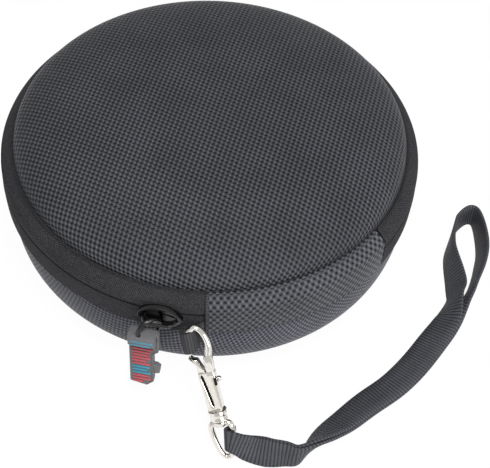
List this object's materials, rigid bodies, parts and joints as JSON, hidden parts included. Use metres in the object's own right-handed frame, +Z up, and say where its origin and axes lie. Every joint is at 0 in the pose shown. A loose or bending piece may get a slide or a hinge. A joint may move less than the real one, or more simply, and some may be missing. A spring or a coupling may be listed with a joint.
{
  "type": "headphone carrying case",
  "caption": "Round zip-up hard case with domed lid, fabric hinge, slider with ring and rubber tag, and a webbing wrist strap on a swivel snap clasp.",
  "frame": {"origin": "centre of the flat foot that the closed case stands on", "axes": "+Z up, -Y towards the side with the clasp, +X to the right seen from there"},
  "size_m": [0.1813, 0.1797, 0.0647],
  "materials": {
    "nylon": "woven ballistic nylon",
    "foam": "moulded closed-cell foam",
    "lining": "brushed knit",
    "ribbon": "grosgrain",
    "tape": "herringbone twill",
    "coil": "nylon coil",
    "mesh": "knitted mesh",
    "elastic": "covered elastic",
    "black_metal": "gloss",
    "nickel": "polished nickel",
    "spring_steel": "spring steel",
    "tag_rubber": "soft moulded PVC",
    "webbing": "ribbed webbing"
  },
  "bodies": {
    "base": {"base_outer_fabric": "nylon", "base_foam_shell": "foam", "base_lining": "lining", "base_edge_binding": "ribbon", "base_zip_tape": "tape", "base_zip_coil": "coil", "hinge_panel": "nylon", "hinge_lining": "lining", "clasp_tab": "webbing"},
    "lid": {"lid_outer_fabric": "nylon", "lid_foam_shell": "foam", "lid_lining": "lining", "lid_edge_binding": "ribbon", "lid_zip_tape": "tape", "lid_zip_coil": "coil", "lid_mesh_pocket": "mesh", "pocket_elastic": "elastic"},
    "slider": {"slider_body": "black_metal", "slider_bridge": "black_metal"},
    "pull": {"pull_ring": "black_metal", "pull_tag": "tag_rubber"},
    "clasp": {"clasp_hook": "nickel", "gate_rivet": "nickel", "gate_spring": "spring_steel", "wrist_strap": "webbing"},
    "gate": {"gate_lever": "nickel"},
    "swivel": {"swivel_eye": "nickel"}
  },
  "joints": [
    {"name": "lid_hinge", "type": "hinge", "parent": "base", "child": "lid", "pos_m": [0.03428, -0.06727, 0.0439], "axis": [0.891, 0.454, 0], "range_deg": [0, 110], "deforming": ["hinge_panel", "hinge_lining"]},
    {"name": "slider_travel", "type": "hinge", "parent": "base", "child": "slider", "pos_m": [0, 0, 0], "axis": [0, 0, -1], "range_deg": [0, 284]},
    {"name": "pull_swing", "type": "hinge", "parent": "slider", "child": "pull", "pos_m": [-0.01582, -0.07919, 0.0439], "axis": [-0.9806, 0.1959, 0], "range_deg": [-4, 85]},
    {"name": "clasp_turn", "type": "hinge", "parent": "base", "child": "clasp", "pos_m": [-0.00565, -0.0808, 0.0368], "axis": [0.2419, -0.4704, -0.8486], "range_deg": [0, 60]},
    {"name": "gate_swing", "type": "hinge", "parent": "clasp", "child": "gate", "pos_m": [0.00049, -0.08618, 0.02838], "axis": [0.1685, 0.8817, -0.4407], "range_deg": [0, 20], "stiffness_Nm_per_rad": 0.1, "springref_deg": -20.05, "deforming": ["gate_spring"]},
    {"name": "eye_swivel", "type": "hinge", "parent": "clasp", "child": "swivel", "pos_m": [0.00467, -0.09321, 0.01591], "axis": [-0.2419, 0.4704, 0.8486], "continuous": true, "deforming": ["wrist_strap"]}
  ]
}
